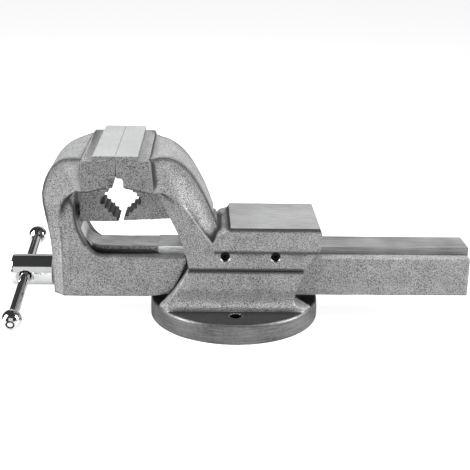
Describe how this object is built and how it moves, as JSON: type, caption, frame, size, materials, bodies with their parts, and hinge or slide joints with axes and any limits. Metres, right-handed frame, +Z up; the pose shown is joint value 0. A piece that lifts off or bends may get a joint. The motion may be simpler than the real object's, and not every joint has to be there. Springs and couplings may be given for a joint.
{
  "type": "bench vise",
  "caption": "Forged steel bench vise on a round foot, with pipe jaws under flat jaws, an anvil block, a guided slide bar and a spindle with a sliding tommy bar.",
  "frame": {"origin": "middle of the round foot's underside, on the bench", "axes": "+X along the slide bar towards its tail, the jaws and the spindle's head are at -X; +Y to the back; +Z up out of the bench"},
  "size_m": [0.5, 0.2024, 0.196],
  "materials": {
    "paint": "silver-grey hammertone enamel on forged steel",
    "ground_steel": "ground bare steel",
    "bronze": "cast bronze nut",
    "black_oxide": "black oxide fasteners",
    "chrome": "polished chrome plate"
  },
  "bodies": {
    "body": {"base": "paint", "fixed_jaw": "paint", "fixed_pipe_jaw": "paint", "spindle_nut": "bronze", "front_gib": "ground_steel", "gib_screw_1": "black_oxide", "gib_screw_2": "black_oxide", "body_bolt_1": "black_oxide", "body_bolt_2": "black_oxide", "body_bolt_3": "black_oxide", "body_bolt_4": "black_oxide", "nut_bolt_1": "black_oxide", "nut_bolt_2": "black_oxide", "fixed_pipe_jaw_screw_1": "black_oxide", "fixed_pipe_jaw_screw_2": "black_oxide"},
    "slide": {"moving_jaw": "paint", "moving_pipe_jaw": "paint", "moving_pipe_jaw_screw_1": "black_oxide", "moving_pipe_jaw_screw_2": "black_oxide"},
    "screw": {"spindle": "chrome", "thrust_washer": "ground_steel", "retaining_collar": "ground_steel", "collar_pin": "ground_steel"},
    "handle": {"tommy_bar": "chrome", "tommy_ball_front": "chrome", "tommy_ball_rear": "chrome"}
  },
  "joints": [
    {"name": "jaw_slide", "type": "slide", "parent": "body", "child": "slide", "axis": [-1, 0, 0], "range_m": [0, 0.16]},
    {"name": "spindle_turn", "type": "hinge", "parent": "slide", "child": "screw", "pos_m": [-0.229, 0, 0.049], "axis": [1, 0, 0], "range_deg": [0, 9600]},
    {"name": "handle_slide", "type": "slide", "parent": "screw", "child": "handle", "axis": [0, 0.9836, 0.1805], "range_m": [-0.052, 0.0735]}
  ],
  "couplings": [
    {"joint": "spindle_turn", "follows": "jaw_slide", "rad_per_m": 1047.2}
  ]
}
